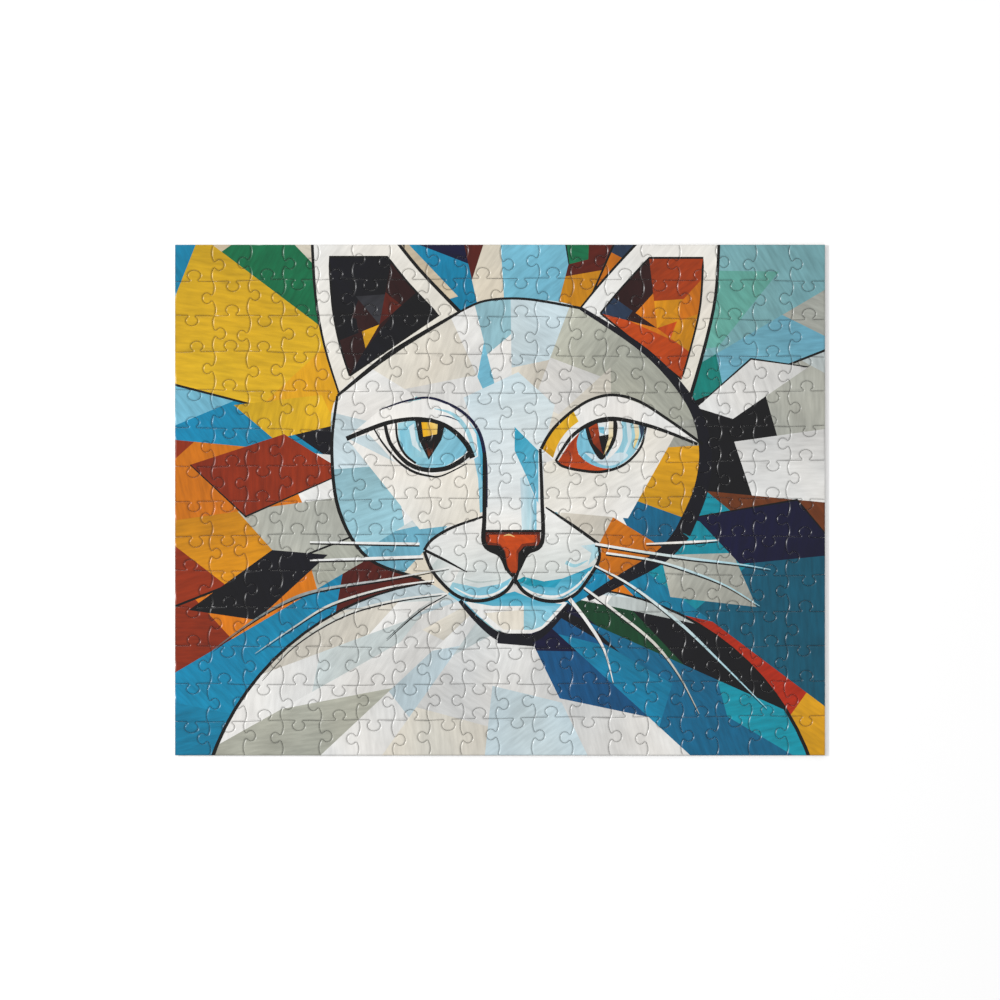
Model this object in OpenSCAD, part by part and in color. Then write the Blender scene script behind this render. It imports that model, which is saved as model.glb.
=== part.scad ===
// Assembled jigsaw puzzle: 18 columns by 14 rows of die-cut, interlocking chipboard pieces.
// Origin at the centre of the underside, +X to the right of the picture, +Y to its top, +Z up.

/* [Puzzle] */
// Width of the assembled puzzle
puzzle_w = 355.6; // [345:0.1:370]
// Height of the assembled puzzle
puzzle_h = 279.4; // [270:0.1:290]
// Thickness of the laminated card
card_t = 2; // [1.2:0.1:3]

/* [Cut lines] */
// Gap left by the cutting rule between two pieces
kerf = 0.16; // [0.08:0.02:0.3]
// Largest slow drift of a cut line from its even spacing
line_drift = 1.4; // [0:0.1:1.6]
// Largest quick shift of a single crossing
crossing_shift = 0.6; // [0:0.1:0.8]
// Largest shift of a knob along its own edge
knob_shift = 1.8; // [0:0.1:2]
// Largest change in a knob's size, as a share of it
knob_change = 0.06; // [0:0.01:0.08]

/* [Knobs on the upright cuts] */
// Radius of the knob's head
side_head_r = 2.95; // [2.6:0.05:3.2]
// Half the width of the neck
side_neck = 1.65; // [1.4:0.05:1.9]
// Radius where the neck meets the edge
side_shoulder_r = 1; // [0.8:0.05:1.2]
// Height of the knob as a share of a round one
side_flatten = 0.88; // [0.8:0.01:1]
// Slope of the wavy edge where it meets a shoulder or a crossing, in degrees
side_wave = 28; // [5:1:32]

/* [Knobs on the level cuts] */
// Radius of the knob's head
top_head_r = 3.5; // [3:0.05:3.7]
// Half the width of the neck
top_neck = 2.1; // [1.7:0.05:2.3]
// Radius where the neck meets the edge
top_shoulder_r = 0.75; // [0.6:0.05:1]
// Height of the knob as a share of a round one
top_flatten = 0.79; // [0.7:0.01:0.9]

/* [Hidden] */
columns = 18;
rows = 14;
pitch_x = puzzle_w / columns;
pitch_y = puzzle_h / rows;

// Straight runs that the wavy edge, a shoulder and a head are made of.
wave_steps = 3;
shoulder_steps = 2;
head_steps = 7;

// Radius, neck, shoulder, flattening and wave of the two kinds of knob, and the runs of the edge
// beside it. The level cuts run straight between their knobs.
side_knob = [side_head_r, side_neck, side_shoulder_r, side_flatten, side_wave, wave_steps];
top_knob = [top_head_r, top_neck, top_shoulder_r, top_flatten, 0, 1];

// Column and level cut of the knobs that are turned over, out of the chequered order.
turned_knobs = [[1, 7], [1, 13], [2, 3], [2, 8]];

// The inside of the puzzle is named in squares of two by two pieces, lettered from the left
// and numbered from the top.
letters = "abcdefgh";
square_columns = (columns - 2) / 2;
square_rows = (rows - 2) / 2;
SQUARES = [for (n = [1 : square_rows]) for (m = [1 : square_columns]) [m, n]];
function square_name(square) = str("middle_", letters[square[0] - 1], square[1]);

// ---- the cut lines ----

// An uneven number between -1 and 1 that depends on where it is asked for.
function uneven(a, b, s) = sin(137 * a + 59 * b + 71 * s) * cos(83 * a - 149 * b + 37 * s);

function drift_x(i, j) = line_drift * sin(47 * i + 13 * j + 20) + crossing_shift * uneven(i, j, 1);
function drift_y(i, j) = line_drift * sin(11 * i + 53 * j - 60) + crossing_shift * uneven(i, j, 2);

// Where upright cut i crosses level cut j; cuts 0 and the last ones are the puzzle's own edges.
function crossing(i, j) = [
    -puzzle_w / 2 + i * pitch_x + (i == 0 || i == columns ? 0 : drift_x(i, j)),
    puzzle_h / 2 - j * pitch_y + (j == 0 || j == rows ? 0 : drift_y(i, j))];

function bezier(a, b, c, d, t) =
    a * pow(1 - t, 3) + b * 3 * t * pow(1 - t, 2) + c * 3 * t * t * (1 - t) + d * pow(t, 3);

function on_circle(centre, r, angle) = centre + r * [cos(angle), sin(angle)];

// Left half of a knob that points up, about its own middle: the wavy run from the crossing at
// start, the shoulder arc and the head arc up to the top, before flattening.
function half_knob(start, knob) =
    let (head = knob[0], shoulder = knob[2], wave = knob[4],
         out = knob[1] + shoulder,
         rise = sqrt(pow(head + shoulder, 2) - out * out),
         lean = atan2(rise, out),
         shoulder_at = [-out, shoulder],
         head_at = [0, shoulder + rise],
         first = on_circle(shoulder_at, shoulder, wave - 90),
         reach = (first[0] - start) / 3)
    concat(
        [for (k = [0 : knob[5] - 1]) bezier([start, 0], [start + reach, -reach * tan(wave)],
            first - [reach, reach * tan(wave)], first, k / knob[5])],
        [for (k = [0 : shoulder_steps])
            on_circle(shoulder_at, shoulder, wave - 90 + (lean - wave + 90) * k / shoulder_steps)],
        [for (k = [1 : (head_steps - 1) / 2])
            on_circle(head_at, head, 180 + lean - (180 + 2 * lean) * k / head_steps)]);

function reversed(path) = [for (k = [len(path) - 1 : -1 : 0]) path[k]];

// One edge of a piece along the cut from a to b. The knob points to the left of the way when
// side is 1 and to the right when it is -1.
function cut_edge(a, b, side, knob, shift, size) =
    let (len_ab = norm(b - a),
         along = (b - a) / len_ab,
         across = side * [-along[1], along[0]],
         middle = len_ab / 2 + shift,
         sized = [size * knob[0], size * knob[1], size * knob[2], knob[3], knob[4], knob[5]],
         before = half_knob(-middle, sized),
         after = half_knob(middle - len_ab, sized),
         path = concat(before, reversed([for (p = after) [-p[0], p[1]]])))
    [for (p = path) a + along * (p[0] + middle) + across * p[1] * knob[3]];

// Knobs point right or up in a chequered order, but for the turned ones.
function is_turned(i, j) = len([for (t = turned_knobs) if (t == [i, j]) t]) > 0;
function side_way(i, j) = (i + j) % 2 == 0 ? 1 : -1;
function top_way(i, j) = is_turned(i, j) ? -side_way(i, j) : side_way(i, j);

// Upright cut i beside row j, from the top down; level cut j under column i, left to right.
function upright_cut(i, j) = cut_edge(crossing(i, j - 1), crossing(i, j), side_way(i, j), side_knob,
    knob_shift * uneven(i, j, 3), 1 + knob_change * uneven(i, j, 4));
function level_cut(i, j) = cut_edge(crossing(i - 1, j), crossing(i, j), top_way(i, j), top_knob,
    knob_shift * uneven(i, j, 5), 1 + knob_change * uneven(i, j, 6));

function without_last(path) = [for (k = [0 : len(path) - 2]) path[k]];

// ---- the pieces ----

// Each side of the piece in column c and row r, clockwise from its top left corner, as a path
// and the distance it is set in from the cut line.
function piece_sides(c, r) = [
    r == 1 ? [[crossing(c - 1, 0), crossing(c, 0)], 0] : [level_cut(c, r - 1), kerf / 2],
    c == columns ? [[crossing(c, r - 1), crossing(c, r)], 0] : [upright_cut(c, r), kerf / 2],
    r == rows ? [[crossing(c, r), crossing(c - 1, r)], 0] : [reversed(level_cut(c, r)), kerf / 2],
    c == 1 ? [[crossing(0, r), crossing(0, r - 1)], 0] : [reversed(upright_cut(c - 1, r)), kerf / 2]];

function inward(a, b) = [b[1] - a[1], a[0] - b[0]] / norm(b - a);

// The point q set in by u from the edge that ends there and by v from the edge that starts there.
function set_in(p, q, s, u, v) =
    let (m = inward(p, q), n = inward(q, s), turn = m[0] * n[1] - m[1] * n[0])
    abs(turn) < 0.001 ? q + m * u : q + [u * n[1] - v * m[1], v * m[0] - u * n[0]] / turn;

function piece_outline(c, r) =
    let (sides = piece_sides(c, r),
         path = [for (s = sides) each without_last(s[0])],
         depth = [for (s = sides) each [for (k = [1 : len(s[0]) - 1]) s[1]]],
         n = len(path))
    [for (k = [0 : n - 1]) set_in(path[(k + n - 1) % n], path[k], path[(k + 1) % n],
        depth[(k + n - 1) % n], depth[k])];

module piece(c, r) {
    linear_extrude(height = card_t) polygon(piece_outline(c, r));
}

module corner_top_left() color("navajowhite") piece(1, 1);
module corner_top_right() color("lightsteelblue") piece(columns, 1);
module corner_bottom_left() color("steelblue") piece(1, rows);
module corner_bottom_right() color("goldenrod") piece(columns, rows);

module edge_pieces_top() color("burlywood") for (c = [2 : columns - 1]) piece(c, 1);
module edge_pieces_bottom() color("whitesmoke") for (c = [2 : columns - 1]) piece(c, rows);
module edge_pieces_left() color("sienna") for (r = [2 : rows - 1]) piece(1, r);
module edge_pieces_right() color("teal") for (r = [2 : rows - 1]) piece(columns, r);

// Four pieces of the inside that lift out together, still locked to each other.
module middle_square(square) {
    shade = (square[0] + square[1]) % 2;
    color(shade == 0 ? "gainsboro" : "cadetblue")
        for (c = [2 * square[0] : 2 * square[0] + 1]) for (r = [2 * square[1] : 2 * square[1] + 1])
            piece(c, r);
}

corner_top_left();
corner_top_right();
corner_bottom_left();
corner_bottom_right();
edge_pieces_top();
edge_pieces_bottom();
edge_pieces_left();
edge_pieces_right();
for (square = SQUARES)
    middle_square(square);
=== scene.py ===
import math

import bpy
import numpy as np
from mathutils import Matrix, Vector
from mathutils.geometry import delaunay_2d_cdt


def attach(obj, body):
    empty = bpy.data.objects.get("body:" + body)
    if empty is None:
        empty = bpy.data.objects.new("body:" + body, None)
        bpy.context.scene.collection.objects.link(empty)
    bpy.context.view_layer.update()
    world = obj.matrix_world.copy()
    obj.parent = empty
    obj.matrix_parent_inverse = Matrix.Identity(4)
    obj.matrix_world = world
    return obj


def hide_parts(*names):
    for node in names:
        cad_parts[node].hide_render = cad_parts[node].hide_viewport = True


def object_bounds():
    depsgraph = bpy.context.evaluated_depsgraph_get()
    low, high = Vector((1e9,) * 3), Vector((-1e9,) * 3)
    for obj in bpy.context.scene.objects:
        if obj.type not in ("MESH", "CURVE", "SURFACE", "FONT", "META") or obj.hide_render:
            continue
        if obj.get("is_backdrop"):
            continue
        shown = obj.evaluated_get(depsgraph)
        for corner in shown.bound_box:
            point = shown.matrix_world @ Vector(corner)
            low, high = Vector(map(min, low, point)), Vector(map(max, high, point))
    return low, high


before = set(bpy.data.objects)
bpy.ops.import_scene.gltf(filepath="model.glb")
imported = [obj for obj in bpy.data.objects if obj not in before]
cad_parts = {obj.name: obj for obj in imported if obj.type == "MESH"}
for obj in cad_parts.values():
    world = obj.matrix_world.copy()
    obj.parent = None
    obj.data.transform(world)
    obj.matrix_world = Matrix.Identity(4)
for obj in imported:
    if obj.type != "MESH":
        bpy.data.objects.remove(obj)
CAD_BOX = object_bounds()

# ---- sizes in millimetres, as in the part's own source, with its curves in finer steps ----

WIDTH, HEIGHT, CARD = (round((high - low) * 1000, 2) for low, high in zip(*CAD_BOX))
COLUMNS, ROWS = 18, 14
PITCH_X, PITCH_Y = WIDTH / COLUMNS, HEIGHT / ROWS
KERF = 0.16
LINE_DRIFT, CROSSING_SHIFT, KNOB_SHIFT, KNOB_CHANGE = 1.4, 0.6, 1.8, 0.06
TURNED_KNOBS = ((1, 7), (1, 13), (2, 3), (2, 8))
LETTERS = "abcdefgh"

# Head radius, neck, shoulder radius, flattening, wave angle and runs along the wave of a knob.
SIDE_KNOB = (2.95, 1.65, 1, 0.88, 28, 8)
TOP_KNOB = (3.5, 2.1, 0.75, 0.79, 0, 1)
SHOULDER_STEPS, HEAD_STEPS = 5, 17

# The die presses the printed edge down: width, depth and power of that rounding, and how far in
# from the cut the rings of points lie that it is modelled with.
BEVEL, PRESSED, BEVEL_POWER = 0.95, 0.4, 1.5
RINGS = (0.12, 0.32, 0.6, BEVEL)

# The underside's rounded edge, the top of the backing and the thickness of the printed paper.
FOOT_INSET, FOOT, BACKING, FACE_PAPER = 0.08, 0.08, 0.2, 0.16
# Colour given to the faces that carry no print.
UNPRINTED = (0.7, 0.7, 0.68)
# Order of the materials on each piece.
PRINT, CORE, PAPER = 0, 1, 2
# Triangles of the printed face that are thinner than this are left out, and upright ones this near
# the cut.
SLIVER = 0.0005
# How far a ring's point may fall short of its depth, and how near the outline a point counts as on it.
RING_SLACK, ON_OUTLINE = 0.02, 0.02
# Runs of the cut wall are shaded as one curve when the cosine of the angle between them is above this.
CURVED = 0.8

# ---- looks ----

# From a paint's own colour to the printed one, in linear light, and the darkest that prints.
PAINT_GAIN, PAINT_LIFT, DARKEST = 0.93, 0.02, 0.003
# Streaks to the metre along and across a facet's shading, the weave in radians to the metre, and how
# far a streak changes a black and a white paint.
STREAKS_ALONG, STREAKS_ACROSS, WEAVE = 420.0, 60.0, 7400.0
STREAK_ON_BLACK, STREAK_ON_WHITE = 0.22, 0.02
# Strength of the dome around the horizon and overhead.
DOME_SIDE, DOME_TOP = 0.26, 1.08
# Azimuth, elevation, distance, diameter and watts of each light.
LIGHTS = {"key": (170, 36, 2.5, 0.3, 36), "back_light": (112, 30, 2.5, 1.0, 5)}
# Share of the picture's width that the puzzle takes up, focal length and width of the sensor.
PICTURE_SHARE, LENS, SENSOR = 0.65, 100, 36


# ---- the cut lines ----

def sin(angle):
    return math.sin(math.radians(angle))


def cos(angle):
    return math.cos(math.radians(angle))


def uneven(a, b, s):
    """An uneven number between -1 and 1 that depends on where it is asked for."""
    return sin(137 * a + 59 * b + 71 * s) * cos(83 * a - 149 * b + 37 * s)


def crossing(i, j):
    """Where upright cut i crosses level cut j."""
    x, y = -WIDTH / 2 + i * PITCH_X, HEIGHT / 2 - j * PITCH_Y
    if 0 < i < COLUMNS:
        x += LINE_DRIFT * sin(47 * i + 13 * j + 20) + CROSSING_SHIFT * uneven(i, j, 1)
    if 0 < j < ROWS:
        y += LINE_DRIFT * sin(11 * i + 53 * j - 60) + CROSSING_SHIFT * uneven(i, j, 2)
    return x, y


def bezier(a, b, c, d, t):
    return a * (1 - t) ** 3 + b * 3 * t * (1 - t) ** 2 + c * 3 * t * t * (1 - t) + d * t ** 3


def arc(x, y, r, start, end, steps):
    """Points of an arc about (x, y), both ends included."""
    angles = [start + (end - start) * k / steps for k in range(steps + 1)]
    return [(x + r * cos(angle), y + r * sin(angle)) for angle in angles]


def half_knob(start, knob, size):
    """Left half of a knob that points up, from the crossing to the middle of its head."""
    head, neck, shoulder = (size * value for value in knob[:3])
    wave, runs = knob[4], knob[5]
    out = neck + shoulder
    rise = math.sqrt((head + shoulder) ** 2 - out ** 2)
    lean = math.degrees(math.atan2(rise, out))
    first_x, first_y = shoulder * cos(wave - 90) - out, shoulder + shoulder * sin(wave - 90)
    reach = (first_x - start) / 3
    fall = reach * math.tan(math.radians(wave))
    run = [(bezier(start, start + reach, first_x - reach, first_x, k / runs),
            bezier(0, -fall, first_y - fall, first_y, k / runs)) for k in range(runs)]
    bend = arc(-out, shoulder, shoulder, wave - 90, lean, SHOULDER_STEPS)
    turn = 180 + 2 * lean
    angles = [180 + lean - turn * k / HEAD_STEPS for k in range(1, (HEAD_STEPS + 1) // 2)]
    return run + bend + [(head * cos(angle), shoulder + rise + head * sin(angle)) for angle in angles]


def cut_edge(a, b, way, knob, shift, size):
    """One edge of a piece along the cut from a to b, its knob to the left when way is 1."""
    length = math.dist(a, b)
    ax, ay = (b[0] - a[0]) / length, (b[1] - a[1]) / length
    middle = length / 2 + shift
    path = half_knob(-middle, knob, size)
    path += [(-x, y) for x, y in reversed(half_knob(middle - length, knob, size))]
    flat = knob[3]
    return [(a[0] + ax * (x + middle) - way * ay * y * flat, a[1] + ay * (x + middle) + way * ax * y * flat)
            for x, y in path]


def upright_cut(i, j):
    """Upright cut i beside row j, from the top down."""
    way = 1 if (i + j) % 2 == 0 else -1
    shift, size = KNOB_SHIFT * uneven(i, j, 3), 1 + KNOB_CHANGE * uneven(i, j, 4)
    return cut_edge(crossing(i, j - 1), crossing(i, j), way, SIDE_KNOB, shift, size)


def level_cut(i, j):
    """Level cut j under column i, from left to right."""
    way = 1 if (i + j) % 2 == 0 else -1
    if (i, j) in TURNED_KNOBS:
        way = -way
    shift, size = KNOB_SHIFT * uneven(i, j, 5), 1 + KNOB_CHANGE * uneven(i, j, 6)
    return cut_edge(crossing(i - 1, j), crossing(i, j), way, TOP_KNOB, shift, size)


def set_in(path, depths):
    """The closed clockwise path with each of its runs set in by its own depth."""
    p = np.array(path)
    d = np.array(depths, float)
    run = np.roll(p, -1, 0) - p
    n = np.stack([run[:, 1], -run[:, 0]], 1) / np.hypot(run[:, 0], run[:, 1])[:, None]
    m, u, v = np.roll(n, 1, 0), np.roll(d, 1), d
    turn = m[:, 0] * n[:, 1] - m[:, 1] * n[:, 0]
    straight = abs(turn) < 0.001
    safe = np.where(straight, 1, turn)
    move = np.stack([u * n[:, 1] - v * m[:, 1], v * m[:, 0] - u * n[:, 0]], 1) / safe[:, None]
    return p + np.where(straight[:, None], m * u[:, None], move)


def piece_outline(c, r):
    """The outline of the piece in column c and row r, clockwise from its top left corner."""
    sides = [
        ([crossing(c - 1, 0), crossing(c, 0)], 0) if r == 1 else (level_cut(c, r - 1), KERF / 2),
        ([crossing(c, r - 1), crossing(c, r)], 0) if c == COLUMNS else (upright_cut(c, r), KERF / 2),
        ([crossing(c, r), crossing(c - 1, r)], 0) if r == ROWS else (level_cut(c, r)[::-1], KERF / 2),
        ([crossing(0, r), crossing(0, r - 1)], 0) if c == 1 else (upright_cut(c - 1, r)[::-1], KERF / 2)]
    path, depths = [], []
    for side, depth in sides:
        path += side[:-1]
        depths += [depth] * (len(side) - 1)
    return set_in(path, depths)


# ---- the picture: a cat in flat facets, in millimetres from the middle ----

PAINTS = {
    "charcoal": (41, 40, 48), "slate": (58, 70, 90), "navy": (30, 44, 66), "ink": (28, 27, 32),
    "umber": (62, 46, 46), "maroon": (98, 50, 43), "plum": (78, 40, 42), "brown": (116, 68, 48),
    "brick": (150, 62, 42), "rust": (170, 72, 40), "red": (178, 58, 36),
    "vermilion": (200, 82, 42), "orange": (219, 125, 38), "amber": (220, 147, 44),
    "gold": (225, 165, 48), "yellow": (226, 180, 52), "pale_gold": (232, 205, 130),
    "ochre": (172, 132, 40), "olive": (98, 104, 48), "green": (34, 112, 78), "deep_green": (36, 76, 56),
    "teal_green": (34, 144, 134), "sea_green": (112, 180, 168), "teal": (26, 100, 124),
    "dull_teal": (60, 122, 132), "patch_teal": (134, 184, 190), "blue": (36, 136, 174),
    "mid_blue": (28, 112, 150), "deep_blue": (28, 92, 136), "bright_blue": (58, 156, 186),
    "cyan": (42, 152, 172), "sky": (124, 188, 210), "ice": (160, 204, 216), "frost": (204, 220, 226),
    "mist": (205, 213, 212), "cloud": (188, 198, 196), "white": (234, 232, 229),
    "bone": (228, 221, 208), "cream": (222, 212, 194), "sand": (214, 197, 170), "tan": (222, 186, 124),
    "stone": (182, 182, 172), "warm_grey": (192, 192, 178), "dark_grey": (96, 106, 106),
    "graphite": (66, 66, 70),
}
# A shade of each, that facets made by rule fade into.
PAINTS.update({"shaded " + name: tuple(0.84 * v + 4 for v in rgb) for name, rgb in PAINTS.items()})

# How far a fan's spokes and the places where its paints change move from their even spacing.
SPOKE_SHIFT, RING_SHIFT = 0.3, 0.24


def smooth(points, steps=6):
    """A curve through the points (Catmull-Rom)."""
    ends = [points[0]] + list(points) + [points[-1]]
    out = []
    for a, b, c, d in zip(ends, ends[1:], ends[2:], ends[3:]):
        for k in range(steps):
            t = k / steps
            out.append(tuple(
                0.5 * (2 * b[n] + (c[n] - a[n]) * t + (2 * a[n] - 5 * b[n] + 4 * c[n] - d[n]) * t * t
                       + (3 * b[n] - a[n] - 3 * c[n] + d[n]) * t ** 3) for n in (0, 1)))
    return out + [tuple(points[-1])]


def line(paint, widths, *points, curved=True):
    """A painted line of the given widths at its start, middle and end."""
    path = smooth(points) if curved and len(points) > 2 else list(points)
    left, right = [], []
    for k, (x, y) in enumerate(path):
        ax, ay = path[max(k - 1, 0)]
        bx, by = path[min(k + 1, len(path) - 1)]
        size = math.hypot(bx - ax, by - ay) or 1
        t = k / (len(path) - 1)
        if t < 0.5:
            width = widths[0] + (widths[1] - widths[0]) * 2 * t
        else:
            width = widths[1] + (widths[2] - widths[1]) * (2 * t - 1)
        nx, ny = -(by - ay) / size * width / 2, (bx - ax) / size * width / 2
        left.append((x + nx, y + ny))
        right.append((x - nx, y - ny))
    return (paint, paint, 0, left + right[::-1])


def facet(paint, *points, to=None, angle=0):
    """A facet of one paint, or shading from it to another along angle."""
    return (paint, to or paint, angle, list(points))


def part_way(start, end, share):
    """The point at that share of the way from start to end."""
    return tuple(a + (b - a) * share for a, b in zip(start, end))


def sector_ends(path, seed, count):
    """Where the uneven sectors of a fan end on its path, as places in the list."""
    stops = [k + (SPOKE_SHIFT * uneven(k, seed, 8) if 0 < k < count else 0) for k in range(count + 1)]
    return [round((len(path) - 1) * stop / count) for stop in stops]


def fan(centre, path, seed, *sectors):
    """Facets that spread from the centre to the path. Each sector names its paints from the inside
    out, and its spokes and the places where the paint changes are uneven."""
    stops = sector_ends(path, seed, len(sectors))
    parts = []
    for k, sector in enumerate(sectors):
        rim, names = path[stops[k]:stops[k + 1] + 1], sector.split()
        for ring in range(len(names), 0, -1):
            name, share = names[ring - 1], ring / len(names)
            outer = rim
            if ring < len(names):
                outer = [part_way(centre, end, share * (1 + RING_SHIFT * uneven(k, ring + side, seed)))
                         for side, end in enumerate((rim[0], rim[-1]))]
            angle = 180 * uneven(ring, k, seed)
            parts.append(facet(name, centre, *outer, to="shaded " + name, angle=angle))
    return parts


def spokes(centre, path, seed, count, inner, *chosen):
    """Ink lines along the chosen spokes of a fan of count sectors, from the inner share outwards."""
    stops = sector_ends(path, seed, count)
    ends = [path[stops[k]] for k in chosen]
    return [line("ink", (1, 1.3, 1.5), part_way(centre, end, inner), end) for end in ends]


def shards(centre, *paints):
    """Slim facets laid over the wheel, each turned and sized unevenly."""
    parts = []
    for k, paint in enumerate(paints):
        way = 360 * (k + 0.5 * uneven(k, 2, 6)) / len(paints) + 20
        near, far = 104 + 14 * uneven(k, 5, 1), 168 + 30 * uneven(k, 7, 2)
        spread = 7 + 3 * uneven(k, 9, 3)
        corners = ((near, 0), (0.72 * far, -spread), (far, 2 * uneven(k, 4, 4)), (0.84 * far, spread))
        points = [(centre[0] + r * cos(way + turn), centre[1] + r * sin(way + turn)) for r, turn in corners]
        parts.append(facet(paint, *points, to="shaded " + paint, angle=way))
        if k % 2 == 0:
            parts.append(line("ink", (0.6, 1.1, 0.6), points[0], points[3], points[2], curved=False))
    return parts


def background():
    """A wheel of facets behind the head."""
    centre = (8, 15)
    rim = arc(*centre, 260, 8, 368, 80)
    return fan(
        centre, rim, 3,
        "teal_green charcoal stone mist", "charcoal teal_green sky stone",
        "umber teal_green patch_teal cream", "umber orange slate stone",
        "sky amber maroon orange", "patch_teal sky maroon orange",
        "navy cream maroon orange", "mid_blue blue navy blue", "deep_blue green sand cream",
        "charcoal green green sand", "charcoal gold yellow blue", "charcoal charcoal blue sky",
        "mid_blue white orange brick", "charcoal stone amber brick", "maroon warm_grey orange brick",
        "plum maroon blue blue", "deep_blue umber blue mid_blue", "white mist bone white",
        "white deep_blue blue sea_green", "deep_blue ochre sea_green teal", "deep_blue maroon ochre olive",
        "charcoal orange maroon teal", "navy blue red gold", "charcoal cyan teal yellow",
        "teal cyan brown gold", "teal_green charcoal white brown",
    ) + spokes(centre, rim, 3, 26, 0.36, 1, 4, 8, 11, 14, 17, 20, 22, 24) + shards(
        centre, "white", "sea_green", "green", "sand", "sky", "yellow", "brick", "charcoal", "mid_blue",
        "orange", "ochre", "stone", "navy")


def body():
    """The chest and shoulders, spreading from the neck."""
    neck = (2, -46)
    hem = [(171 - 12 * k, -146) for k in range(28)]
    left, right = arc(-20, -190, 146, 162, 100, 14), arc(36, -190, 142, 82, 18, 14)
    return fan(
        neck, hem + left + right + hem[:1], 7,
        "deep_blue blue mid_blue", "navy deep_blue white", "charcoal white frost", "mist white bone",
        "white frost white", "bone white warm_grey", "white mist white", "frost white bone",
        "white mist frost", "dull_teal white mist", "navy deep_green charcoal", "charcoal mid_blue cyan",
    ) + [line("ink", (2, 1.6, 1), *left, curved=False), line("ink", (1, 1.6, 2), *right, curved=False)]


def ear(outline, centre, seed, *sectors):
    """An ear with a white rim around a fan of warm, dark facets."""
    inner = [part_way(centre, point, 0.74) for point in outline + outline[:1]]
    return [facet("white", *outline, to="bone", angle=-40)] + fan(centre, inner, seed, *sectors) + [
        line("ink", (1, 1.6, 2), *outline, curved=False), line("ink", (1, 1.2, 1), *inner, curved=False)]


def ears():
    """Both ears, cut off by the top of the picture."""
    left = smooth([(-88, 58), (-96, 84), (-101, 112), (-103, 146)], 4)
    left += smooth([(-60, 146), (-44, 126), (-22, 103)], 4)
    right = smooth([(44, 105), (58, 122), (80, 146)], 4)
    right += smooth([(120, 146), (118, 112), (112, 84), (104, 56)], 4)
    return ear(
        left, (-66, 96), 4,
        "gold umber", "umber charcoal", "umber charcoal", "graphite charcoal", "maroon umber",
        "umber charcoal",
    ) + ear(
        right, (86, 94), 9,
        "umber slate", "orange umber", "amber rust", "amber orange", "vermilion amber", "orange vermilion")


def head():
    """The head in soft facets that spread from between the eyes."""
    outline = smooth([
        (112, 30), (104, 54), (80, 81), (44, 105), (14, 110), (-8, 109), (-22, 103), (-60, 80), (-89, 57),
        (-92, 28), (-88, -6), (-72, -32), (-43, -43), (-22, -56), (-4, -70), (8, -73), (22, -70), (40, -57),
        (62, -46), (88, -31), (106, -6), (112, 30)])
    left_lobe = smooth([
        (-9, -9), (-26, -15), (-37, -21.5), (-41.5, -27.5), (-38, -37), (-30, -48), (-16, -55), (-4, -54),
        (8, -44)])
    right_lobe = smooth([
        (8, -44), (18, -54), (33, -55), (46, -47), (54, -33), (54, -24), (40, -14), (25, -4)])
    return fan(
        (7, 24), outline, 5,
        "white white stone", "white bone warm_grey", "bone white warm_grey", "white bone frost",
        "white white ice", "ice sky white", "frost white bone", "white patch_teal white",
        "white bone frost", "white white ice", "white mist sky", "frost white cream",
        "bone bone sky", "white mist patch_teal", "white frost white", "white ice white",
        "white sky blue", "white bone orange", "white white mid_blue", "white white gold",
    ) + [facet("bone", (24, 20), (80, 41), (96, 36), (70, -10), (24, -6), to="white", angle=-60),
         facet("white", (-84, 34), (-40, 12), (-12, 24), (-10, -12), (-44, -16), to="bone", angle=-20),
         facet("white", (-14, 40), (-20, 56), (10, 70), (30, 52), (24, 28), (22, -17), (-8, -17),
             (-9, 20), to="frost", angle=100),
         facet("white", *left_lobe, (8, -18), to="mist", angle=-80),
         facet("white", *right_lobe, (8, -18), to="mist", angle=-80),
         line("ink", (1.4, 3, 1.4), (-89, 57), (-60, 80), (-22, 103)),
         line("ink", (1.2, 1.3, 1.5), (-22, 103), (-8, 109), (14, 110), (44, 105)),
         line("charcoal", (2, 6, 9), (44, 105), (80, 81), (104, 54), (112, 30), (110, 6), (100, -18)),
         line("charcoal", (9, 7, 3), (100, -18), (88, -31), (62, -46), (48, -54)),
         line("ink", (1.6, 1.7, 1.2), (-41.5, -27.5), (-37, -21.5), (-26, -15), (-9, -9)),
         line("ink", (1.4, 2, 1.6), (-89, 57), (-92, 28), (-88, -6), (-72, -32), (-43, -43))]


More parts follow.
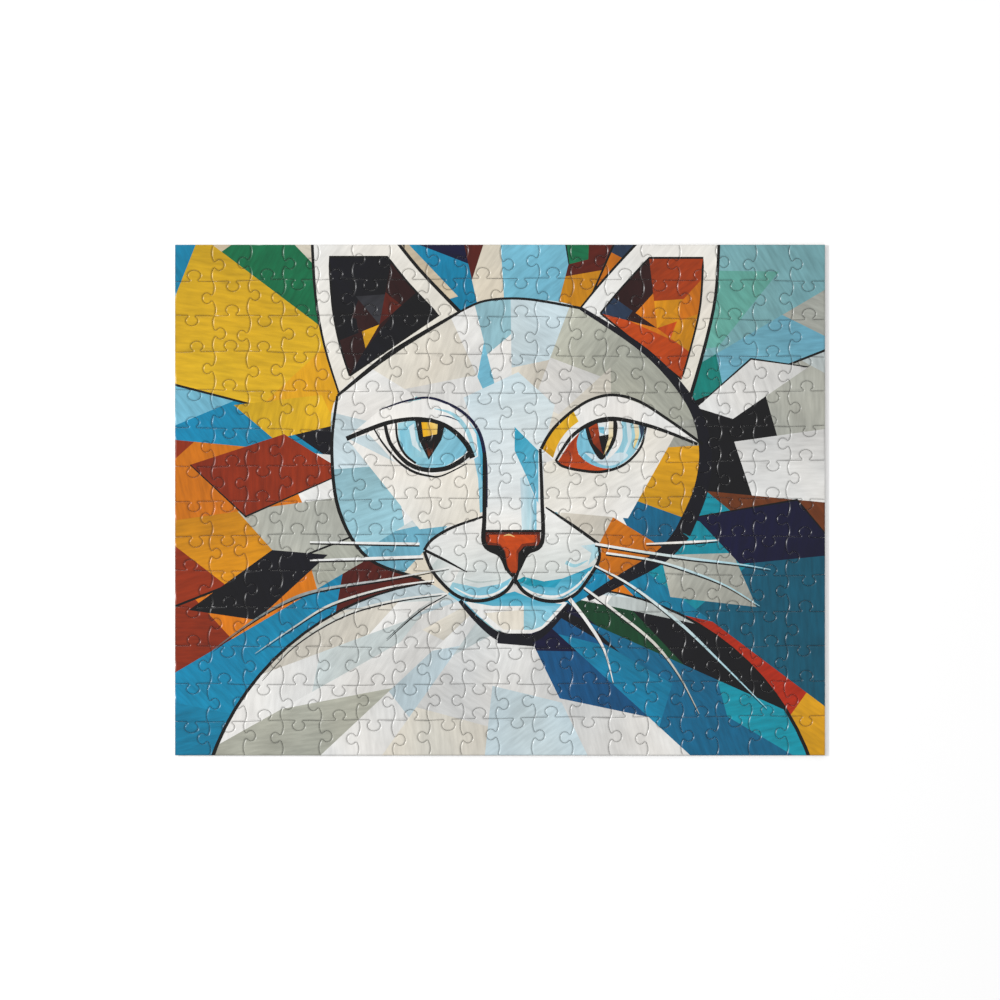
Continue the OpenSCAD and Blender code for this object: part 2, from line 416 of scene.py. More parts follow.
def nose():
    """The bridge of the nose with its shaded sides, and the nose."""
    return [
        facet("sky", (-24, 44), (-16, 42), (-10, 32), (-8, 20), (-8, -6), (-11, -7), (-12, 12), (-15, 26),
            (-19, 36), to="frost", angle=180),
        facet("bright_blue", (-14, 40), (-9, 30), (-8, 16), (-10, 10), (-11, 24), to="sky", angle=180),
        facet("bright_blue", (8, 40), (21, 27), (21, -2), (19, 2), (14, 14), (8, 27), to="sky", angle=-40),
        facet("frost", (11, 12), (14, 13), (19, 1), (20, -17), (12, -17), to="ice", angle=0),
        facet("sky", (17, 4), (20, 0), (20, -17), (16, -17), to="frost", angle=180),
        facet("rust", (-8, -17), (22, -17), (22, -24), (14, -29), (10, -41), (6, -41), (0, -29), (-8, -24),
            to="maroon", angle=90),
        facet("rust", (-6, -19), (20, -19), (20, -23), (12, -24), (9, -28), (9, -38), (5, -38), (3, -28),
            (0, -24), (-6, -23), to="vermilion", angle=60),
        facet("vermilion", (1, -20), (7, -19), (12, -21), (8, -24), (8, -34), (6, -36), (4, -28), (3, -23),
            to="rust", angle=-90),
        line("tan", (0.3, 1, 0.3), (2, -19.6), (5, -19), (8, -20.2)),
        facet("ink", (-7, -24.5), (0, -25), (2.5, -28), (4, -36), (3, -39), (0, -31)),
        facet("ink", (10, -29), (13, -25.5), (18, -25), (22, -25), (14, -30), (9.5, -40)),
        line("ink", (1.4, 1.6, 1.4), (-9, -17), (23, -17)),
        line("navy", (0.8, 1.6, 2.4), (-66, 49), (-54, 53.5), (-40, 56), (-28, 52.5), (-18, 46), (-11, 36),
            (-8, 20), (-8, -4)),
        line("ink", (2, 2.8, 1.2), (-8.5, 26), (-8.5, -8), (-8.5, -24), (0, -30), (4, -38), (8, -43)),
        line("ink", (1.6, 2.6, 1.2), (22, 28), (23, 0), (23, -23), (15, -29), (11, -37), (8, -43)),
        facet("ink", (6, -40), (10.5, -40), (8.2, -47)),
    ]


def left_eye():
    """Lid, white, iris, pupil and lines of the eye on the left."""
    return [
        facet("white", (-84, 34), (-66, 49), (-54, 53), (-40, 55.5), (-28, 52), (-19, 45), (-13, 36),
            (-12, 24), (-15, 22), (-20, 33), (-30, 41), (-46, 44), (-70, 39)),
        line("ice", (0.3, 2.4, 2), (-36, 50), (-26, 47), (-18, 38), (-13.5, 24)),
        line("slate", (0.2, 0.8, 0.2), (-34, 46.5), (-28, 45.5), (-22, 43)),
        facet("white", *smooth([(-84, 33), (-68, 41), (-46, 45), (-27, 40), (-16, 26), (-26, 17), (-40, 14),
            (-54, 18), (-66, 30)]), (-72, 36)),
        facet("ice", *smooth([(-56, 42), (-55, 31), (-50, 23), (-42, 18), (-32, 18), (-24, 22), (-18, 28),
            (-27, 38), (-36, 43), (-46, 44)]), to="sky", angle=-40),
        facet("sky", (-55, 38), (-46, 43), (-45, 34), (-40, 23), (-50, 24), (-54, 30), to="ice", angle=0),
        facet("frost", (-50, 40), (-47, 42), (-46, 33), (-43, 26), (-48, 30)),
        facet("ink", (-46.5, 44), (-44.5, 33), (-39, 22), (-32, 33), (-30, 42), (-38, 45)),
        facet("pale_gold", (-43, 42.5), (-34, 42.5), (-34.5, 36), (-42, 34.5), to="gold", angle=200),
        facet("gold", (-43, 42.5), (-40, 42.5), (-39.5, 35.2), (-42, 34.5), to="yellow", angle=0),
        facet("brown", (-41.5, 32.5), (-35.5, 33), (-37, 26), (-39, 23.6), to="ink", angle=90),
        facet("ink", (-40, 33.5), (-36, 33.5), (-37, 28), (-39, 28)),
        line("ink", (1, 1.4, 1.2), (-57, 43), (-56, 33), (-52, 25), (-46, 20)),
        line("ink", (1.8, 2.6, 2.8), (-63, 42), (-60, 31), (-51, 20.5), (-41, 16.6), (-30, 17.2), (-22, 21),
            (-16, 26)),
        line("ink", (2.6, 2.1, 3.2), (-84, 33.5), (-72, 38.5), (-60, 42.6), (-46, 44.4), (-34, 42.5),
            (-25, 37.5), (-18, 30), (-15, 23)),
        line("ink", (0.8, 1.5, 0.6), (-69, 39), (-64, 31), (-56, 21.5), (-48, 15.8), (-40, 13.4),
            (-32, 13.2), (-18, 20)),
    ]


def right_eye():
    """Lid, white, iris, pupil and lines of the eye on the right."""
    return [
        facet("white", *smooth([(23, 28), (30, 40), (44, 52), (60, 57), (78, 52), (96, 41)]), (110, 31),
            *smooth([(92, 37), (78, 41.5), (60, 44.5), (44, 39), (34, 28)]), (29, 22)),
        facet("gold", *smooth([(23, 28), (27, 35), (33, 42), (40, 49)]), (43, 43),
            *smooth([(43, 43), (37, 38), (32, 31), (29, 23)]), to="yellow", angle=20),
        facet("ochre", (23, 28), (25, 31), (30, 26), (29, 23), to="gold", angle=90),
        facet("white", *smooth([(31, 20), (38, 32), (48, 41), (62, 45), (80, 41), (76, 28), (66, 19),
            (52, 16), (38, 18)])),
        facet("rust", (31, 20), (38, 31), (45, 38.5), (42, 31), (43, 25), (50, 19.5), (62, 17), (50, 15.5),
            (38, 17.5), to="vermilion", angle=-60),
        facet("brick", (32, 20), (38, 30), (41, 33), (40, 26), (36, 21), to="rust", angle=-90),
        facet("sky", *smooth([(44, 38), (42, 31), (44, 24), (52, 18.6), (62, 17.6), (72, 24), (78, 34),
            (79, 41), (72, 42), (60, 44), (50, 41)]), to="ice", angle=0),
        facet("frost", *smooth([(46, 26), (54, 20), (62, 19), (70, 24), (66, 26), (58, 24)])),
        facet("white", *smooth([(63, 43.5), (66, 43.5), (67, 34), (64, 27), (58, 22), (62, 30)])),
        facet("frost", *smooth([(69, 43), (71, 43), (72, 34), (69, 26), (66, 22), (70, 32)])),
        facet("pale_gold", *smooth([(73, 42), (75.5, 41.5), (76, 35), (73, 28), (74, 35)]), to="cream",
            angle=90),
        facet("slate", *smooth([(76, 41.5), (79, 41), (78, 35), (75, 29), (77, 35)])),
        facet("ink", *smooth([(46.5, 40), (49, 31), (55, 22), (60, 27), (63.5, 34), (63.5, 43.5),
            (54, 42.5)])),
        facet("rust", (48.5, 39.5), (53, 42), (56, 33), (56.5, 25), (51, 31), to="maroon", angle=-50),
        facet("white", (53.5, 42), (61, 43), (60, 36), (54.5, 35), to="frost", angle=-120),
        facet("sky", (54, 40), (57, 40), (57, 36), (54.5, 37)),
        facet("ink", (54, 35), (58.6, 35), (57.6, 29), (56, 26)),
        facet("bone", (59.4, 43), (62, 43), (61.8, 35), (59, 28), (56.6, 24.4), (59.4, 34), to="pale_gold",
            angle=-90),
        line("ink", (1.2, 1.6, 1.4), (80, 41), (77, 29), (68, 19.5), (56, 15.5), (44, 16.2), (34, 18.6),
            (30.5, 22)),
        line("ink", (1.2, 2.4, 1.5), (30.5, 21.5), (34, 27.5), (40, 35.5), (50, 42), (62, 44.5), (80, 41),
            (96, 35.5), (108, 30.5)),
        line("ink", (1.8, 1.6, 1.6), (22.5, 28), (26, 34.5), (31, 41), (40, 49), (50, 55), (62, 57.5),
            (76, 54), (92, 44), (111, 30.5)),
    ]


def muzzle():
    """The two lobes, the mouth between them and the chin."""
    return [
        facet("cloud", (-34, -32), (-22, -38), (-27, -47), (-38, -37), to="white", angle=-20),
        facet("ice", (-26, -45), (-12, -48), (0, -46), (7, -42), (2, -50), (-8, -54), (-18, -54),
            (-28, -49), to="sky", angle=-60),
        facet("bright_blue", (9, -44), (13, -42), (24, -44.5), (34, -43), (44, -39), (51, -36), (44, -48),
            (34, -54), (22, -53), (13, -49), to="sky", angle=-90),
        facet("cyan", (9, -44), (13, -42), (24, -44.5), (34, -43), (30, -48), (16, -47), to="bright_blue",
            angle=-60),
        facet("white", (-19, -56), (0, -53), (8, -50), (18, -55), (37, -56), (24, -70.5), (17, -73),
            (4, -73), (-3, -70.5), (-11, -64)),
        facet("sky", (-16, -56), (0, -52), (8, -50), (20, -55), (34, -57), (30, -61), (13, -60), (13, -58),
            (-4, -58), to="bright_blue", angle=90),
        facet("ice", (13, -58), (33, -58), (23, -69), (18, -71), (13, -71), to="sky", angle=60),
        facet("bone", (-9, -62), (13, -60), (13, -71), (2, -71)),
        line("white", (0.5, 1.4, 1), (-25, -48), (-15, -52.6), (-4, -51.8), (4, -47)),
        line("white", (1, 1.4, 0.8), (12, -47.5), (20, -51.6), (32, -52.6), (42, -47), (49, -39)),
        line("ink", (2, 1.9, 1.8), (8, -43), (3, -50), (-6, -54.4), (-16, -55), (-25, -51.5), (-33, -44),
            (-38, -37), (-41.5, -28)),
        line("ink", (2, 1.9, 1.8), (8, -43), (13, -50), (22, -54.6), (33, -55.2), (42, -51), (49, -42),
            (54, -33), (54, -25)),
        line("charcoal", (2, 5.6, 2.4), (-22, -55), (-13, -65), (-2, -74), (8, -76.4), (18, -75.6),
            (27, -69.5), (38, -57)),
        line("ink", (1.6, 1.4, 0.5), (-41, -27.5), (-30, -33), (-18, -39.5)),
        line("cloud", (0.4, 1, 0.4), (-20, -43), (-12, -45), (0, -43.6)),
        line("ice", (2.2, 1.8, 0.4), (36, -34), (41, -36), (48, -33)),
        facet("ice", (44, -25), (53, -24), (54, -30), (48, -36), (50, -29), to="frost", angle=180),
        line("ink", (1.8, 1.8, 0.8), (54, -24), (40, -14), (25, -4)),
    ]


def whiskers():
    """White whiskers, each with a thin ink shadow below it."""
    lines = []
    for end, widths, points in (
        ("white", (1.4, 1.4, 0.8), ((-44, -24), (-70, -23.6), (-104, -23))),
        ("white", (1.6, 1.6, 0.8), ((-42, -31), (-72, -32), (-104, -33))),
        ("dark_grey", (0.5, 1.6, 0.3), ((-28, -37), (-60, -43), (-98, -49), (-118, -56), (-138, -68),
            (-157, -82))),
        ("stone", (0.8, 1.3, 0.2), ((-36, -44), (-62, -48), (-92, -57), (-112, -69), (-134, -84))),
        ("stone", (0.6, 1.4, 0.3), ((-30, -51), (-58, -55), (-86, -63), (-112, -79), (-130, -98))),
        ("dark_grey", (0.6, 1.1, 0.3), ((-29, -51), (-44, -60), (-62, -76))),
        ("white", (0.8, 1.4, 0.6), ((80, -24), (104, -23), (119, -22))),
        ("ice", (1.4, 1.4, 0.3), ((52, -24), (76, -28), (104, -32), (130, -35), (148, -38))),
        ("ice", (1.2, 1.2, 0.3), ((58, -29), (84, -33), (104, -39), (124, -47), (142, -58))),
        ("ice", (0.8, 1.7, 0.3), ((52, -36), (72, -47), (98, -67), (120, -88), (146, -114))),
        ("stone", (1.2, 1.5, 0.3), ((46, -48), (62, -60), (84, -78), (98, -96), (109, -117))),
        ("white", (2, 1.7, 0.3), ((38, -54), (48, -67), (57, -82), (62, -100))),
    ):
        below = [(x, y - 1) for x, y in points]
        lines.append(line("ink", tuple(0.8 * w for w in widths), *below))
        mark = line("white", widths, *points)
        lines.append(("white", end, 180 if points[-1][0] < points[0][0] else 0, mark[3]))
    return lines


def picture():
    """All the facets of the picture, from the lowest to the topmost."""
    x, y = WIDTH / 2 + 4, HEIGHT / 2 + 4
    parts = [facet("charcoal", (-x, y), (x, y), (x, -y), (-x, -y))]
    for part in (background, body, ears, head, nose, left_eye, right_eye, muzzle, whiskers):
        parts += part()
    return parts


# ---- the pieces ----

def facet_table(parts):
    """The picture's facets as arrays: points, colours, and the shading's direction and ends."""
    table = []
    for paint, to, angle, points in parts:
        p = np.array(points, float)
        way = np.array([cos(angle), sin(angle)])
        along = p @ way
        table.append({
            "points": p, "low": p.min(0), "high": p.max(0), "way": way,
            "ends": (along.min(), max(along.max(), along.min() + 0.001)),
            "paints": (np.array(PAINTS[paint]) / 255, np.array(PAINTS[to]) / 255)})
    return table


def inside(points, polygon):
    """Which of the points lie in the polygon, by the winding rule."""
    a, b = polygon, np.roll(polygon, -1, 0)
    px, py = points[:, :1], points[:, 1:]
    up = (a[:, 1] <= py) & (b[:, 1] > py)
    down = (b[:, 1] <= py) & (a[:, 1] > py)
    side = (b[:, 0] - a[:, 0]) * (py - a[:, 1]) - (px - a[:, 0]) * (b[:, 1] - a[:, 1])
    return ((up & (side > 0)).sum(1) - (down & (side < 0)).sum(1)) != 0


def clipped(a, b, low, high):
    """The part of the line from a to b in the box, or None."""
    start, end = 0.0, 1.0
    for n in (0, 1):
        step = b[n] - a[n]
        for edge, way in ((low[n], 1), (high[n], -1)):
            gap = (edge - a[n]) * way
            if abs(step) < 1e-9:
                if gap > 0:
                    return None
            elif step * way > 0:
                start = max(start, gap / (step * way))
            else:
                end = min(end, gap / (step * way))
    if start >= end:
        return None
    return a + (b - a) * start, a + (b - a) * end


def to_outline(points, outline):
    """Distance of each point to the outline, and the way straight in from it."""
    a = outline
    run = np.roll(a, -1, 0) - a
    length = (run ** 2).sum(1)
    t = np.clip(((points[:, None] - a) * run).sum(2) / length, 0, 1)
    off = points[:, None] - (a + run * t[:, :, None])
    distance = np.hypot(off[:, :, 0], off[:, :, 1])
    nearest = distance.argmin(1)
    d = distance[np.arange(len(points)), nearest]
    off = off[np.arange(len(points)), nearest]
    normal = np.stack([run[:, 1], -run[:, 0]], 1)[nearest] / np.sqrt(length[nearest])[:, None]
    inwards = np.where(d[:, None] > ON_OUTLINE, off / np.maximum(d, 1e-6)[:, None], normal)
    return d, inwards


def linear(colour):
    """Linear light of an sRGB colour."""
    return np.where(colour < 0.04045, colour / 12.92, ((colour + 0.055) / 1.055) ** 2.4)


def thinness(triangles):
    """Each triangle's height over its longest side."""
    sides = np.roll(triangles, -1, 1) - triangles
    a, b = sides[:, 0], sides[:, 1]
    twice_area = np.sqrt(np.maximum((a * a).sum(1) * (b * b).sum(1) - (a * b).sum(1) ** 2, 0))
    return twice_area / np.linalg.norm(sides, axis=2).max(1)


def printed_top(outline, table):
    """The pressed top of a piece, cut along its rings and the edges of the facets on it."""
    low, high = outline.min(0), outline.max(0)
    here = [f for f in table if (f["low"] < high).all() and (f["high"] > low).all()]
    points, edges = [], []

    def loop(path):
        first = len(points)
        points.extend(path)
        edges.extend((first + k, first + (k + 1) % len(path)) for k in range(len(path)))

    loop(outline)
    for depth in RINGS:
        ring = set_in(outline, [depth] * len(outline))
        loop(ring[to_outline(ring, outline)[0] > depth - RING_SLACK])
    for f in here:
        for a, b in zip(f["points"], np.roll(f["points"], -1, 0)):
            ends = clipped(a, b, low, high)
            if ends:
                edges.append((len(points), len(points) + 1))
                points.extend(ends)
    verts, _, faces, *_ = delaunay_2d_cdt([Vector(p) for p in points], edges, [], 0, 1e-5, False)
    verts = np.array([tuple(v) for v in verts])
    faces = np.array([f for f in faces if len(f) == 3])
    d, inwards = to_outline(verts, outline)
    left = np.clip(1 - d / BEVEL, 0, 1)
    raised = np.concatenate([verts, (CARD - PRESSED * left ** BEVEL_POWER)[:, None]], 1)
    middle = verts[faces].mean(1)
    # A triangle that stands upright on a rim is thin from above only, and closes the surface there.
    wide = (thinness(verts[faces]) > SLIVER) | (to_outline(middle, outline)[0] > SLIVER)
    keep = inside(middle, outline) & (thinness(raised[faces]) > SLIVER) & wide
    faces, middle = faces[keep], middle[keep]
    used, faces = np.unique(faces, return_inverse=True)
    verts, raised, inwards, left = verts[used], raised[used], inwards[used], left[used]
    faces = faces.reshape(-1, 3)

    top = np.zeros(len(faces), int)
    for k, f in enumerate(here):
        top[inside(middle, f["points"])] = k
    corners = verts[faces]
    way = np.array([f["way"] for f in here])[top]
    ends = np.array([f["ends"] for f in here])[top]
    paints = np.array([f["paints"] for f in here])[top]
    t = np.clip(((corners * way[:, None]).sum(2) - ends[:, :1]) / (ends[:, 1:] - ends[:, :1]), 0, 1)
    colour = linear(paints[:, None, 0] * (1 - t[:, :, None]) + paints[:, None, 1] * t[:, :, None])
    colour = np.maximum(colour * PAINT_GAIN - PAINT_LIFT, DARKEST)

    slope = PRESSED * BEVEL_POWER / BEVEL * left ** (BEVEL_POWER - 1)
    normal = np.concatenate([-inwards * slope[:, None], np.ones((len(verts), 1))], 1)
    normal /= np.linalg.norm(normal, axis=1)[:, None]
    return raised, faces, normal[faces], colour, way, (left ** 2)[faces]


def cut_wall(outline):
    """The piece's wall and underside: rings of points, quads with their material, and normals."""
    n = len(outline)
    heights = (0, FOOT, BACKING, CARD - PRESSED - FACE_PAPER, CARD - PRESSED)
    layers = (PAPER, PAPER, CORE, PAPER)
    foot = set_in(outline, [FOOT_INSET] * n)
    rings = [np.concatenate([foot if z == 0 else outline, np.full((n, 1), z)], 1) for z in heights]
    verts = np.concatenate(rings)
    run = np.roll(outline, -1, 0) - outline
    out = np.stack([-run[:, 1], run[:, 0]], 1) / np.hypot(run[:, 0], run[:, 1])[:, None]
    before, after = np.roll(out, 1, 0), np.roll(out, -1, 0)
    start = np.where(((out * before).sum(1) > CURVED)[:, None], out + before, out)
    end = np.where(((out * after).sum(1) > CURVED)[:, None], out + after, out)
    faces, slots, normals = [], [], []
    for level, layer in enumerate(layers):
        for k in range(n):
            a, b, s = level * n + k, level * n + (k + 1) % n, n
            faces.append((a, a + s, b + s, b))
            slots.append(layer)
            ends = [(*start[k], 0), (*start[k], 0), (*end[k], 0), (*end[k], 0)]
            if level == 0:
                ends[0], ends[3] = (*start[k], -1), (*end[k], -1)
            normals.append(ends)
    return verts, faces, slots, normals


def build_node(node, places, table, slots):
    """One object for all the pieces of a node."""
    verts, faces, layers, normals, colours, strokes, rims = [], [], [], [], [], [], []
    for c, r in places:
        outline = piece_outline(c, r)
        top, tris, top_normals, colour, way, rim = printed_top(outline, table)
        first = len(verts)
        verts += top.tolist()
        faces += (tris + first).tolist()
        layers += [PRINT] * len(tris)
        normals += top_normals.reshape(-1, 3).tolist()
        colours += colour.reshape(-1, 3).tolist()
        strokes += way.tolist()
        rims += rim.reshape(-1).tolist()
        wall, quads, quad_slots, wall_normals = cut_wall(outline)
        first = len(verts)
        verts += wall.tolist()
        faces += [tuple(v + first for v in quad) for quad in quads]
        layers += quad_slots
        normals += [corner for quad in wall_normals for corner in quad]
        faces.append(tuple(range(first, first + len(outline))))
        layers.append(PAPER)
        normals += [(0, 0, -1)] * len(outline)
        plain = 4 * len(quads) + len(outline)
        colours += [UNPRINTED] * plain
        rims += [0.0] * plain
        strokes += [(1, 0)] * (len(quads) + 1)
    mesh = bpy.data.meshes.new("printed_" + node)
    mesh.from_pydata((np.array(verts) / 1000).tolist(), [], faces)
    for material in slots:
        mesh.materials.append(material)
    mesh.polygons.foreach_set("material_index", layers)
    paint = mesh.attributes.new("paint", "FLOAT_COLOR", "CORNER")
    opaque = np.ones((len(colours), 1))
    paint.data.foreach_set("color", np.concatenate([np.array(colours), opaque], 1).ravel())
    stroke = mesh.attributes.new("stroke", "FLOAT_VECTOR", "FACE")
    level = np.zeros((len(strokes), 1))
    stroke.data.foreach_set("vector", np.concatenate([np.array(strokes, float), level], 1).ravel())
    rim = mesh.attributes.new("rim", "FLOAT", "CORNER")
    rim.data.foreach_set("value", rims)
    normal = np.array(normals, float)
    normal /= np.linalg.norm(normal, axis=1)[:, None]
    mesh.normals_split_custom_set(normal.tolist())
    piece = bpy.data.objects.new("printed_" + node, mesh)
    bpy.context.scene.collection.objects.link(piece)
    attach(piece, "square_" + node[-2:] if node.startswith("middle_") else "edge_frame")
    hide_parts(node)
    return piece


def node_places():
    """Each node's name and the column and row of its pieces."""
    inner_columns, inner_rows = range(2, COLUMNS), range(2, ROWS)
    places = {
        "corner_top_left": [(1, 1)], "corner_top_right": [(COLUMNS, 1)],
        "corner_bottom_left": [(1, ROWS)], "corner_bottom_right": [(COLUMNS, ROWS)],
        "edge_pieces_top": [(c, 1) for c in inner_columns],
        "edge_pieces_bottom": [(c, ROWS) for c in inner_columns],
        "edge_pieces_left": [(1, r) for r in inner_rows],
        "edge_pieces_right": [(COLUMNS, r) for r in inner_rows]}
    for m, letter in enumerate(LETTERS, 1):
        for n in range(1, ROWS // 2):
            places[f"middle_{letter}{n}"] = [(c, r) for r in (2 * n, 2 * n + 1) for c in (2 * m, 2 * m + 1)]
    return places


# ---- materials ----

class Nodes:
    """Short calls for building a material's node tree."""

    def __init__(self, name):
        self.material = bpy.data.materials.new(name)
        self.material.use_nodes = True
        self.tree = self.material.node_tree
        self.shader = self.tree.nodes["Principled BSDF"]

    def add(self, kind, inputs=(), **settings):
        node = self.tree.nodes.new("ShaderNode" + kind)
        for key, value in settings.items():
            setattr(node, key, value)
        for key, value in dict(inputs).items():
            if isinstance(value, bpy.types.NodeSocket):
                self.tree.links.new(value, node.inputs[key])
            else:
                node.inputs[key].default_value = value
        return node

    def math(self, operation, *values):
        return self.add("Math", enumerate(values), operation=operation).outputs[0]

    def vector(self, operation, *values):
        node = self.add("VectorMath", enumerate(values), operation=operation)
        return node.outputs["Value" if operation == "DOT_PRODUCT" else "Vector"]

    def noise(self, vector, scale, detail=2.0, roughness=0.5):
        inputs = {"Vector": vector, "Scale": scale, "Detail": detail, "Roughness": roughness}
        return self.add("TexNoise", inputs).outputs["Fac"]

    def spread(self, value, low, high, from_low=0.3, from_high=0.7):
        inputs = {"Value": value, "From Min": from_low, "From Max": from_high, "To Min": low, "To Max": high}
        return self.add("MapRange", inputs).outputs["Result"]

    def mix(self, factor, a, b, blend="MIX"):
        node = self.add("Mix", data_type="RGBA", blend_type=blend)
        for key, value in ((0, factor), (6, a), (7, b)):
            if isinstance(value, bpy.types.NodeSocket):
                self.tree.links.new(value, node.inputs[key])
            else:
                node.inputs[key].default_value = value
        return node.outputs[2]

    def link(self, value, socket):
        self.tree.links.new(value, self.shader.inputs[socket])

    def bump(self, height, strength, distance, under=None):
        inputs = {"Height": height, "Strength": strength, "Distance": distance}
        if under:
            inputs["Normal"] = under
        return self.add("Bump", inputs).outputs["Normal"]


def print_material():
    """Satin print of a painted picture: brush streaks across each facet's shading, strongest in the
    deep colours, a fine canvas and painted shade that darkens the pressed rims."""
    m = Nodes("satin_print")
    paint = m.add("Attribute", attribute_name="paint").outputs["Color"]
    stroke = m.add("Attribute", attribute_name="stroke").outputs["Vector"]
    rim = m.add("Attribute", attribute_name="rim").outputs["Fac"]
    place = m.add("TexCoord").outputs["Object"]
    along = m.vector("DOT_PRODUCT", place, stroke)
    across = m.vector("DOT_PRODUCT", place, m.vector("CROSS_PRODUCT", stroke, (0, 0, 1)))
    along, across = m.math("MULTIPLY", along, STREAKS_ALONG), m.math("MULTIPLY", across, STREAKS_ACROSS)
    bristles = m.add("CombineXYZ", {0: along, 1: across}).outputs[0]
    streak = m.noise(bristles, 1.0, 3.0, 0.6)
    cloud = m.noise(place, 42.0, 3.0, 0.55)
    wash = m.noise(place, 16.0, 2.0, 0.5)
    lightness = m.add("RGBToBW", {"Color": paint}).outputs[0]
    strength = m.math("MULTIPLY_ADD", lightness, STREAK_ON_WHITE - STREAK_ON_BLACK, STREAK_ON_BLACK)
    brushed = m.math("MULTIPLY", m.spread(streak, -1.0, 1.0), strength)
    tone = m.math("ADD", brushed, m.spread(cloud, 0.92, 1.08))
    toned = m.mix(1.0, paint, m.add("CombineColor", {0: tone, 1: tone, 2: tone}).outputs[0], "MULTIPLY")
    tint = m.mix(m.spread(wash, 0.0, 1.0), (0.9, 0.96, 1.0, 1), (1.0, 0.97, 0.92, 1))
    tinted = m.mix(0.6, toned, tint, "MULTIPLY")
    # Painted shade: near the cut the print is mixed towards black, more strongly the closer the rim
    # attribute is to the cut.
    rim_painted_shade = m.mix(m.math("MULTIPLY", rim, 0.15), tinted, (0.02, 0.02, 0.024, 1))
    m.link(rim_painted_shade, "Base Color")
    m.link(m.spread(streak, 0.32, 0.4), "Roughness")
    threads = [m.math("SINE", m.math("MULTIPLY", m.vector("DOT_PRODUCT", place, way), WEAVE))
               for way in ((1, 0, 0), (0, 1, 0))]
    canvas = m.bump(m.math("ADD", *threads), 0.05, 0.00002)
    m.link(m.bump(streak, 0.35, 0.0001, canvas), "Normal")
    m.shader.inputs["Specular IOR Level"].default_value = 0.2
    m.link(m.math("MULTIPLY_ADD", rim, 0.45, 0.04), "Coat Weight")
    m.shader.inputs["Coat Roughness"].default_value = 0.22
    return m.material


def core_material():
    """Grey chipboard seen on a cut wall: thin layers, fibres and darker specks."""
    m = Nodes("chipboard_core")
    place = m.add("TexCoord").outputs["Object"]
    layers = m.noise(m.vector("MULTIPLY", place, (300.0, 300.0, 5200.0)), 1.0, 3.0, 0.6)
    fibres = m.noise(place, 2600.0, 3.0, 0.7)
    base = m.mix(m.spread(layers, 0.0, 1.0), (0.23, 0.21, 0.185, 1), (0.36, 0.335, 0.3, 1))
    m.link(m.mix(m.spread(fibres, 0.0, 0.6, 0.55, 0.75), base, (0.12, 0.105, 0.09, 1)), "Base Color")
    m.link(m.spread(fibres, 0.82, 0.98), "Roughness")
    m.link(m.bump(m.math("ADD", layers, fibres), 0.6, 0.0001), "Normal")
    m.shader.inputs["Specular IOR Level"].default_value = 0.15
    return m.material


def paper_material():
    """Uncoated paper of the back and of the face paper's cut edge, with fibres and flecks."""
    m = Nodes("backing_paper")
    place = m.add("TexCoord").outputs["Object"]
    fibres = m.noise(m.vector("MULTIPLY", place, (1500.0, 500.0, 1500.0)), 1.0, 4.0, 0.7)
    flecks = m.noise(place, 1900.0, 1.0, 0.4)
    cloud = m.noise(place, 60.0, 3.0, 0.6)
    base = m.mix(m.spread(cloud, 0.0, 1.0), (0.47, 0.46, 0.43, 1), (0.56, 0.55, 0.52, 1))
    base = m.mix(m.spread(fibres, 0.0, 0.35), base, (0.66, 0.65, 0.62, 1))
    m.link(m.mix(m.spread(flecks, 0.0, 0.7, 0.68, 0.76), base, (0.2, 0.18, 0.15, 1)), "Base Color")
    m.link(m.spread(fibres, 0.78, 0.95), "Roughness")
    m.link(m.bump(fibres, 0.4, 0.00008), "Normal")
    m.shader.inputs["Specular IOR Level"].default_value = 0.2
    return m.material


def floor_material():
    """Matt, nearly white paint, hardly uneven."""
    m = Nodes("pale_floor")
    place = m.add("TexCoord").outputs["Object"]
    m.link(m.mix(m.noise(place, 9.0, 2.0), (0.955, 0.955, 0.955, 1), (0.965, 0.965, 0.965, 1)), "Base Color")
    m.shader.inputs["Roughness"].default_value = 0.9
    m.shader.inputs["Specular IOR Level"].default_value = 0.0
    return m.material


# ---- floor, light and camera ----

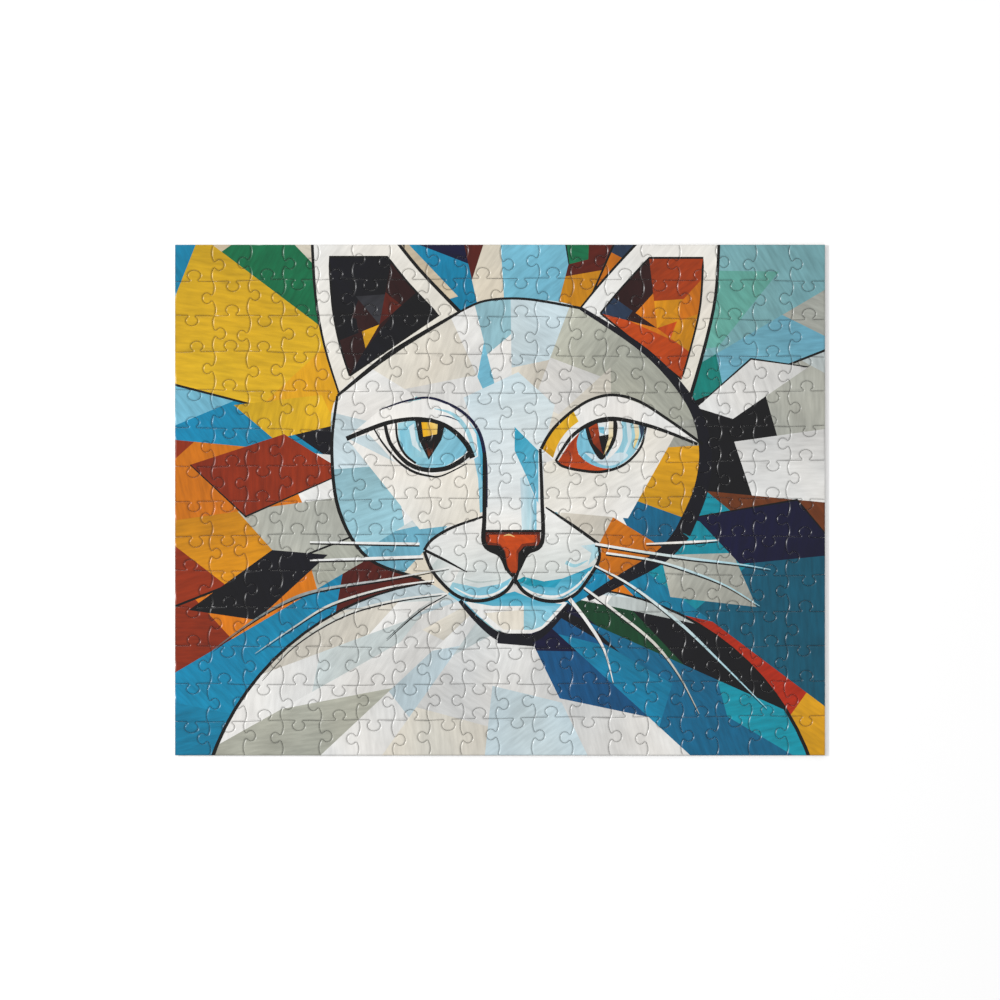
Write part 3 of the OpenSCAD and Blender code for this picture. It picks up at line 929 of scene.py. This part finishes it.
def make_floor():
    """A plain pale floor, just under the puzzle."""
    mesh = bpy.data.meshes.new("floor")
    size, z = 3.0, -0.0001
    corners = [(-size, -size, z), (size, -size, z), (size, size, z), (-size, size, z)]
    mesh.from_pydata(corners, [], [(0, 1, 2, 3)])
    mesh.materials.append(floor_material())
    floor = bpy.data.objects.new("floor", mesh)
    bpy.context.scene.collection.objects.link(floor)
    floor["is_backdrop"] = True


def make_world():
    """A plain white dome, dim near the horizon and bright overhead."""
    world = bpy.data.worlds.new("studio")
    world.use_nodes = True
    nodes, links = world.node_tree.nodes, world.node_tree.links
    background = nodes["Background"]
    split = nodes.new("ShaderNodeSeparateXYZ")
    strength = nodes.new("ShaderNodeMapRange")
    links.new(nodes.new("ShaderNodeTexCoord").outputs["Generated"], split.inputs[0])
    links.new(split.outputs["Z"], strength.inputs["Value"])
    links.new(strength.outputs["Result"], background.inputs["Strength"])
    for key, value in (("From Min", 0.2), ("From Max", 1.0), ("To Min", DOME_SIDE), ("To Max", DOME_TOP)):
        strength.inputs[key].default_value = value
    background.inputs["Color"].default_value = (1, 1, 1, 1)
    bpy.context.scene.world = world


def area_light(name, azimuth, elevation, distance, size, power):
    """A round lamp that looks at the middle of the puzzle."""
    light = bpy.data.lights.new(name, "AREA")
    light.shape, light.size, light.energy = "DISK", size, power
    lamp = bpy.data.objects.new(name, light)
    way = (cos(azimuth) * cos(elevation), sin(azimuth) * cos(elevation), sin(elevation))
    lamp.location = [distance * v for v in way]
    lamp.rotation_euler = (-lamp.location).to_track_quat("-Z", "Y").to_euler()
    bpy.context.scene.collection.objects.link(lamp)


def make_camera():
    """Straight down on the middle of the picture, a little over one and a half widths across."""
    low, high = CAD_BOX
    data = bpy.data.cameras.new("camera")
    data.lens, data.sensor_width = LENS, SENSOR
    data.clip_start, data.clip_end = 0.05, 20
    distance = (high[0] - low[0]) / PICTURE_SHARE * data.lens / data.sensor_width
    camera = bpy.data.objects.new("camera", data)
    camera.location = ((low[0] + high[0]) / 2, (low[1] + high[1]) / 2, high[2] + distance)
    bpy.context.scene.collection.objects.link(camera)
    bpy.context.scene.camera = camera


def main():
    make_camera()
    make_world()
    make_floor()
    for name, settings in LIGHTS.items():
        area_light(name, *settings)
    bpy.context.scene.view_settings.view_transform = "Standard"
    table = facet_table(picture())
    slots = [print_material(), core_material(), paper_material()]
    for node, places in node_places().items():
        build_node(node, places, table, slots)
    visual_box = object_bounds()
    boxes = {"cad": CAD_BOX, "visual": visual_box}
    {key: [[round(v, 6) for v in corner] for corner in box] for key, box in boxes.items()}


main()
